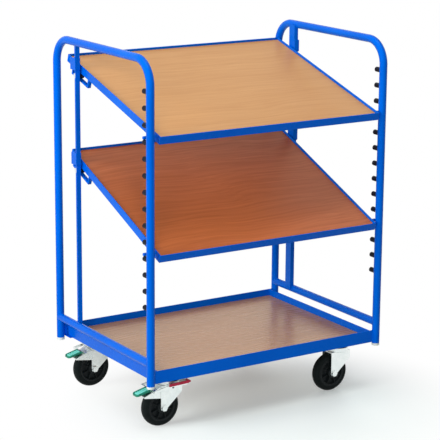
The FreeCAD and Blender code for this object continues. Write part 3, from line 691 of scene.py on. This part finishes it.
def axle_distances(node, centre):
    """How far a wheel's corners are from its axle."""
    corners = [vertex.co for vertex in frame["nodes"][node].data.vertices]
    return [math.hypot(corner.x - centre.x, corner.z - centre.z) for corner in corners]


def arc(centre, radius, start_deg, end_deg, steps):
    """Points on an arc in an outline's own plane."""
    points = []
    for step in range(steps + 1):
        turn = math.radians(start_deg + (end_deg - start_deg) * step / steps)
        points.append((centre[0] + radius * math.cos(turn), centre[1] + radius * math.sin(turn)))
    return points


def tyre_outline(inner, outer, half):
    """Round tread on short side walls, with a moulded line low on each shoulder."""
    shoulder, chamfer, line_depth = 14 * MM, 0.7 * MM, 0.6 * MM
    line_deg, line_floor_deg, line_lip_deg = 67, 1, 3
    side_steps, tread_steps = 3, 10
    middle = (outer - shoulder, half - shoulder)
    upper = [(inner, half - chamfer), (inner + chamfer, half)]
    upper += arc(middle, shoulder, 90, line_deg + line_lip_deg, side_steps)
    upper += arc(middle, shoulder - line_depth, line_deg + line_floor_deg, line_deg - line_floor_deg, 1)
    upper += arc(middle, shoulder, line_deg - line_lip_deg, 0, tread_steps)
    lower = [(u, -v) for u, v in reversed(upper)]
    return upper + lower


def hub_outline(rim, bore, half, boss_half):
    """Rim, dished web and boss, with soft corners."""
    rim_wall, boss, web_half = 8 * MM, 17 * MM, 5 * MM
    rim_edge, lip_edge, boss_edge, bore_edge = 0.8 * MM, 1.2 * MM, 1.0 * MM, 1.6 * MM
    rim_draft, boss_draft = 1.2 * MM, 0.9 * MM
    fillet_rise, fillet_run = 2.2 * MM, 3.52 * MM
    inner = rim - rim_wall
    upper = [
        (rim, half - rim_edge),
        (rim - rim_edge, half),
        (inner + lip_edge, half),
        (inner, half - lip_edge),
        (inner - rim_draft, web_half + fillet_rise),
        (inner - fillet_run, web_half),
        (boss + fillet_run, web_half),
        (boss + boss_draft, web_half + fillet_rise),
        (boss, boss_half - boss_edge),
        (boss - boss_edge, boss_half),
        (bore + bore_edge, boss_half),
        (bore, boss_half - bore_edge),
    ]
    lower = [(u, -v) for u, v in reversed(upper)]
    return upper + lower


def add_ribs(shape, centre, count=8):
    """Stiffening ribs on both faces of a hub, between its boss and its rim."""
    start, end = 16.5 * MM, 39.4 * MM
    foot, top_start, top_end = 4.4 * MM, 15.0 * MM, 12.5 * MM
    thick_foot, thick_top = 1.9 * MM, 1.2 * MM
    for face in SIDES:
        for step in range(count):
            turn = math.tau * (step + 0.5) / count
            outwards = Vector((math.cos(turn), 0, math.sin(turn)))
            across = Vector((-math.sin(turn), 0, math.cos(turn)))
            rings = []
            for reach, top in ((start, top_start), (end, top_end)):
                section = ((-thick_foot, foot), (thick_foot, foot), (thick_top, top), (-thick_top, top))
                ring = []
                for width, height in section:
                    point = centre + outwards * reach + across * width + Vector((0, height * face, 0))
                    ring.append(shape.verts.new(point))
                rings.append(ring)
            join_rings(shape, rings, closed=False)


def make_wheel(caster):
    _, centre = caster_axis(caster)
    body = caster + "_wheel"
    low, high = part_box(caster + "_tyre")
    outer, half = (high.z - low.z) / 2, (high.y - low.y) / 2
    rim_low, rim_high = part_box(caster + "_hub")
    rim, boss_half = (rim_high.z - rim_low.z) / 2, (rim_high.y - rim_low.y) / 2
    tyre_seat = min(axle_distances(caster + "_tyre", centre))
    bore = min(axle_distances(caster + "_hub", centre))

    def tyre(shape):
        lathe(shape, tyre_outline(tyre_seat, outer, half), centre, "y", TYRE_STEPS)

    def hub(shape):
        outline = hub_outline(rim, bore, half - HUB_INSET, boss_half)
        lathe(shape, outline, centre, "y", HUB_STEPS)
        add_ribs(shape, centre)

    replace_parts(new_piece(caster + "_tyre_moulded", body, "black_rubber", tyre), caster + "_tyre")
    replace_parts(new_piece(caster + "_hub_moulded", body, "grey_hub", hub, sharp_deg=30), caster + "_hub")


def pedal_section(half, thickness, depth):
    """Section across the pedal, a shallow channel, from its lower left corner and clockwise."""
    wall, soft = 4.2 * MM, 1.1 * MM
    lip_drop, lip_run = 0.44 * MM, 0.55 * MM
    floor = thickness - depth
    right = [
        (half - wall - soft, floor),
        (half - wall, thickness - lip_drop),
        (half - wall + lip_run, thickness),
        (half - soft, thickness),
        (half, thickness - soft),
        (half, soft),
        (half - soft, 0.0),
    ]
    return [(-u, v) for u, v in reversed(right)] + right


class PedalShape:
    """The brake pedal's slope, thickness and width at a share of its length from heel to tip."""

    FLOOR_DEPTH = 2.9 * MM
    ROUND_FROM = 0.8
    TIP_NARROWING = 0.62
    TIP_POWER = 2.4

    def __init__(self, caster):
        low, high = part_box(caster + "_brake_pedal")
        self.heights = levels(caster + "_brake_pedal", 2)
        self.heel_x, self.tip_x = high.x, low.x
        self.middle = (low.y + high.y) / 2
        self.half = (high.y - low.y) / 2

    def at(self, t):
        """Place along X, underside, thickness and half width."""
        tip_low, tip_high, heel_low, heel_high = self.heights
        x = self.heel_x + (self.tip_x - self.heel_x) * t
        bottom = heel_low + (tip_low - heel_low) * t
        top = heel_high + (tip_high - heel_high) * t
        past = max(0.0, (t - self.ROUND_FROM) / (1 - self.ROUND_FROM))
        width = self.half * math.sqrt(1 - self.TIP_NARROWING * past ** self.TIP_POWER)
        return x, bottom, top - bottom, width


def make_pedal(caster):
    """Channel-shaped foot pedal with a rounded tip, and a ribbed grip on its floor, in a paler mint that paints
    the floor's highlight.
    """
    form = PedalShape(caster)
    shares = [station / PEDAL_STATIONS for station in range(PEDAL_STATIONS + 1)]

    def pedal(shape):
        rings = []
        for share in shares:
            x, bottom, thickness, width = form.at(share)
            section = pedal_section(width, thickness, form.FLOOR_DEPTH)
            rings.append([shape.verts.new((x, form.middle + u, bottom + v)) for u, v in section])
        join_rings(shape, rings, closed=False)

    def grip(shape):
        start, end = GRIP_SPAN
        rings = []
        for share in shares:
            x, bottom, thickness, width = form.at(start + (end - start) * share)
            floor = bottom + thickness - form.FLOOR_DEPTH
            foot = floor - GRIP_SEAT
            top = floor + GRIP_HEIGHT + GRIP_WAVE * math.sin(math.tau * GRIP_TREADS * share)
            reach = width - GRIP_MARGIN
            section = ((-reach, foot), (reach, foot), (reach, top), (-reach, top))
            rings.append([shape.verts.new((x, form.middle + u, v)) for u, v in section])
        join_rings(shape, rings, closed=False)

    body = caster + "_brake"
    moulding = new_piece(caster + "_pedal_moulded", body, "green_plastic", pedal, sharp_deg=50)
    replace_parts(moulding, caster + "_brake_pedal")
    new_piece(caster + "_pedal_grip", body, "green_plastic", grip, sharp_deg=50, finish="grip_painted_highlight")


def add_toe_ribs(shape, caster):
    """Grip ribs across the front of the release pad."""
    pad = caster + "_brake_toe_pad"
    low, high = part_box(pad)
    back_x, toe_x = levels(pad, 0)[-2:]
    toe_top, back_top = levels(pad, 2)[-2:]
    radius, margin, count = 0.8 * MM, 1.4 * MM, 13
    ends = ((back_x + margin, back_top), (toe_x - margin, toe_top))
    for step in range(count):
        y = low.y + (high.y - low.y) * (step + 1) / (count + 1)
        bead(shape, [(x, y, z) for x, z in ends], radius, ripple=0)


def add_fork_rivets(shape, caster):
    """Domed rivet heads on both cheeks of a braked fork, which hold the wheel guard and the brake's stop."""
    swivel, wheel = caster_axis(caster)
    fork_low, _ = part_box(caster + "_fork")
    _, guard_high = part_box(caster + "_brake_guard")
    corners = [vertex.co for vertex in frame["nodes"][caster + "_fork"].data.vertices]
    cheek = max(abs(corner.y - swivel.y) for corner in corners if corner.z < wheel.z)
    height = guard_high.z - RIVET_DROP
    for x in ((fork_low.x + guard_high.x) / 2, swivel.x + RIVET_AHEAD):
        for y_sign in SIDES:
            stations = [(radius, (cheek + proud) * y_sign) for radius, proud in RIVET_HEAD]
            turned(shape, stations, (x, swivel.y, height), "y")


def washer_outline(inner, outer, low, high):
    """A flat ring with its corners eased."""
    soft = min(RING_EASE, (high - low) / 3)
    return [
        (inner, low + soft), (inner, high - soft), (inner + soft, high), (outer - soft, high),
        (outer, high - soft), (outer, low + soft), (outer - soft, low), (inner + soft, low),
    ]


def add_seals(shape):
    """Dust seal round each swivel bearing, between the cup and the top plate."""
    race_low, plate_low = levels("caster_top_plates", 2)[:2]
    for caster in CASTERS:
        swivel, _ = caster_axis(caster)
        outline = washer_outline(*SEAL_RADII, race_low + SEAL_GAP_BELOW, plate_low - SEAL_GAP_ABOVE)
        lathe(shape, outline, (swivel.x, swivel.y, 0), "z")


def add_screw_flanges(shape):
    """Flange under each caster screw's head."""
    under = levels("caster_top_plates", 2)[1]
    outline = washer_outline(*FLANGE_RADII, under - FLANGE_THICKNESS, under)
    for low, high in solids("caster_screws"):
        middle = (low + high) / 2
        lathe(shape, outline, (middle.x, middle.y, 0), "z", FLANGE_STEPS)


def add_pivot_washers(shape):
    """Washer between each pivot bolt's head and its post."""
    web_outer = levels("right_rear_post", 0)[1]
    for name in SHELVES:
        pivot = Vector(joint(name + "_shelf_tilt")["pos_m"])
        for x_sign in SIDES:
            ends = sorted((web_outer * x_sign, (web_outer + WASHER_THICKNESS) * x_sign))
            outline = washer_outline(*WASHER_RADII, *ends)
            lathe(shape, outline, (0, pivot.y, pivot.z), "x", WASHER_STEPS)


def make_details():
    new_piece("frame_welds", "frame", "blue_paint", add_frame_welds, sharp_deg=60)
    for name in SHELVES:
        axes = ShelfAxes(name)
        new_piece(
            name + "_shelf_welds", name + "_shelf", "blue_paint",
            lambda shape, axes=axes: add_shelf_welds(shape, axes), sharp_deg=60,
        )
    new_piece("swivel_seals", "frame", "black_plastic", add_seals)
    new_piece("caster_screw_flanges", "frame", "zinc_steel", add_screw_flanges)
    new_piece("pivot_washers", "frame", "zinc_steel", add_pivot_washers)
    for caster in CASTERS:
        make_wheel(caster)
    for caster in BRAKED:
        make_pedal(caster)
        new_piece(
            caster + "_toe_ribs", caster + "_brake", "red_plastic",
            lambda shape, caster=caster: add_toe_ribs(shape, caster),
        )
        new_piece(
            caster + "_fork_rivets", caster + "_swivel", "black_plastic",
            lambda shape, caster=caster: add_fork_rivets(shape, caster),
        )


# Stage

def background_rays(tree):
    """A factor of 1 for rays that should see the white background: camera, mirror and glass rays."""
    path = add_node(tree, "LightPath")
    total = path.outputs["Is Camera Ray"]
    for name in ("Is Glossy Ray", "Is Transmission Ray"):
        total = add_node(tree, "Math", {0: total, 1: path.outputs[name]}, operation="MAXIMUM").outputs[0]
    return total


def make_world():
    """White where the background is seen, and a faint even light for all other rays."""
    world = bpy.data.worlds.new("studio")
    bpy.context.scene.world = world
    world.use_nodes = True
    tree = world.node_tree
    tree.nodes.clear()
    ambient = add_node(tree, "Background", {"Color": opaque(AMBIENT_COLOUR), "Strength": AMBIENT_STRENGTH})
    white = add_node(tree, "Background", {"Color": opaque(WHITE)})
    both = {0: background_rays(tree), 1: ambient.outputs[0], 2: white.outputs[0]}
    add_node(tree, "OutputWorld", {"Surface": add_node(tree, "MixShader", both).outputs[0]})


def floor_material():
    """Pale floor that keeps the shadow near the trolley and fades to the white background further out."""
    material = bpy.data.materials.new("studio_floor")
    material.use_nodes = True
    tree = material.node_tree
    tree.nodes.clear()
    place = add_node(tree, "TexCoord").outputs["Object"]
    distance = add_node(tree, "VectorMath", {0: place}, operation="LENGTH").outputs["Value"]
    near, far = FLOOR_FADE
    reach = {"Value": distance, "From Min": near, "From Max": far, "To Min": FLOOR_WHITE_SHARE}
    fade = add_node(tree, "MapRange", reach, interpolation_type="SMOOTHSTEP").outputs["Result"]
    seen = background_rays(tree)
    shown = add_node(tree, "Math", {0: fade, 1: seen}, operation="MULTIPLY").outputs[0]
    colours = {0: seen, 6: opaque(FLOOR_BOUNCE_COLOUR), 7: opaque(FLOOR_COLOUR)}
    tint = add_node(tree, "Mix", colours, data_type="RGBA").outputs[2]
    matt = add_node(tree, "BsdfDiffuse", {"Color": tint})
    white = add_node(tree, "Emission", {"Color": opaque(WHITE)})
    both = {0: shown, 1: matt.outputs[0], 2: white.outputs[0]}
    add_node(tree, "OutputMaterial", {"Surface": add_node(tree, "MixShader", both).outputs[0]})
    return material


def make_floor():
    mesh = bpy.data.meshes.new("floor")
    shape = bmesh.new()
    bmesh.ops.create_circle(shape, cap_ends=True, segments=FLOOR_SIDES, radius=FLOOR_RADIUS)
    shape.to_mesh(mesh)
    shape.free()
    mesh.materials.append(floor_material())
    floor = bpy.data.objects.new("floor", mesh)
    floor.location = FLOOR_CENTRE
    bpy.context.scene.collection.objects.link(floor)


def add_lamp(name, place, size, level, in_gloss):
    """A square soft light aimed at the trolley. A level of 1 lights a face turned to it as fully as white."""
    target = (cad_low + cad_high) / 2
    place = Vector(place)
    lamp = bpy.data.lights.new(name, "AREA")
    lamp.size = size
    lamp.energy = level * math.pi ** 2 * (place - target).length_squared
    holder = bpy.data.objects.new(name, lamp)
    holder.location = place
    holder.visible_glossy = in_gloss
    holder.rotation_euler = (target - place).to_track_quat("-Z", "Y").to_euler()
    bpy.context.scene.collection.objects.link(holder)


def make_camera():
    lens = bpy.data.cameras.new("camera")
    lens.sensor_width = SENSOR_WIDTH_MM
    lens.lens = FOCAL_PIXELS / FRAME_PIXELS * SENSOR_WIDTH_MM
    camera = bpy.data.objects.new("camera", lens)
    yaw, pitch = math.radians(CAMERA_YAW_DEG), math.radians(CAMERA_PITCH_DEG)
    forward = Vector((math.sin(yaw) * math.cos(pitch), math.cos(yaw) * math.cos(pitch), -math.sin(pitch)))
    camera.location = CAMERA_PLACE
    camera.rotation_mode = "QUATERNION"
    aimed = forward.to_track_quat("-Z", "Y")
    aimed.rotate(Quaternion(forward, -math.radians(CAMERA_ROLL_DEG)))
    camera.rotation_quaternion = aimed
    bpy.context.scene.collection.objects.link(camera)
    bpy.context.scene.camera = camera


finish_cad_nodes()
make_details()
make_world()
make_floor()
for lamp in LAMPS:
    add_lamp(*lamp)
make_camera()
bpy.context.scene.view_settings.view_transform = "Standard"
